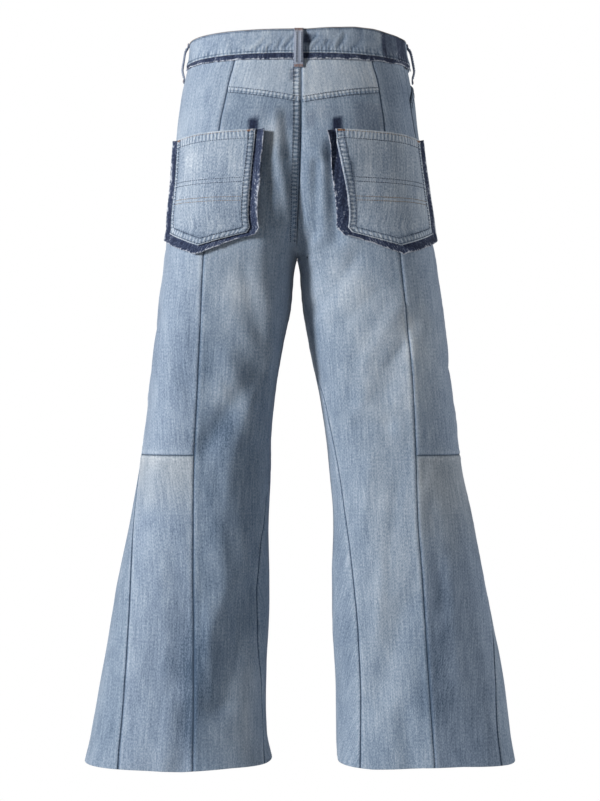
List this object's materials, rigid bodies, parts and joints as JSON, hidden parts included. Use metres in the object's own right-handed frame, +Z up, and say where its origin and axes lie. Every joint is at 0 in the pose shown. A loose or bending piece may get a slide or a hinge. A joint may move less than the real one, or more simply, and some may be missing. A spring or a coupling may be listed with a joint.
{
  "type": "bootcut jeans",
  "caption": "Pieced bootcut jeans in washed denim, filled out and hollow, with a waistband, patch back pockets, dark raw borders and raw hems.",
  "frame": {"origin": "middle of the waistband's ring, where the wearer's waist holds the jeans up", "axes": "+Z up towards the waist, the seat faces +Y and the fly faces -Y, +X is the wearer's left"},
  "size_m": [0.5987, 0.2528, 1.0093],
  "materials": {
    "yoke_denim": "washed cotton twill",
    "back_denim": "washed cotton twill",
    "side_denim": "washed cotton twill",
    "knee_denim": "washed cotton twill",
    "front_denim": "washed cotton twill",
    "facing_denim": "washed cotton twill",
    "pocket_denim": "washed cotton twill",
    "raw_denim": "unwashed cotton twill",
    "band_denim": "washed cotton twill",
    "loop_denim": "washed cotton twill",
    "antique_brass": "worn brass"
  },
  "bodies": {
    "root": {"back_leg_l": "back_denim", "back_leg_r": "back_denim", "yoke_l": "yoke_denim", "yoke_r": "yoke_denim", "side_upper_l": "side_denim", "side_upper_r": "side_denim", "side_lower_l": "knee_denim", "side_lower_r": "knee_denim", "front_leg_l": "front_denim", "front_leg_r": "front_denim", "pocket_facing_l": "facing_denim", "pocket_facing_r": "facing_denim", "back_pocket_l": "pocket_denim", "back_pocket_r": "pocket_denim", "pocket_border_l": "raw_denim", "pocket_border_r": "raw_denim", "waistband": "band_denim", "waist_strip": "raw_denim", "belt_loop_back": "loop_denim", "belt_loop_side_l": "loop_denim", "belt_loop_side_r": "loop_denim", "belt_loop_front_l": "loop_denim", "belt_loop_front_r": "loop_denim", "fly_shield": "facing_denim", "button": "antique_brass"}
  },
  "joints": []
}
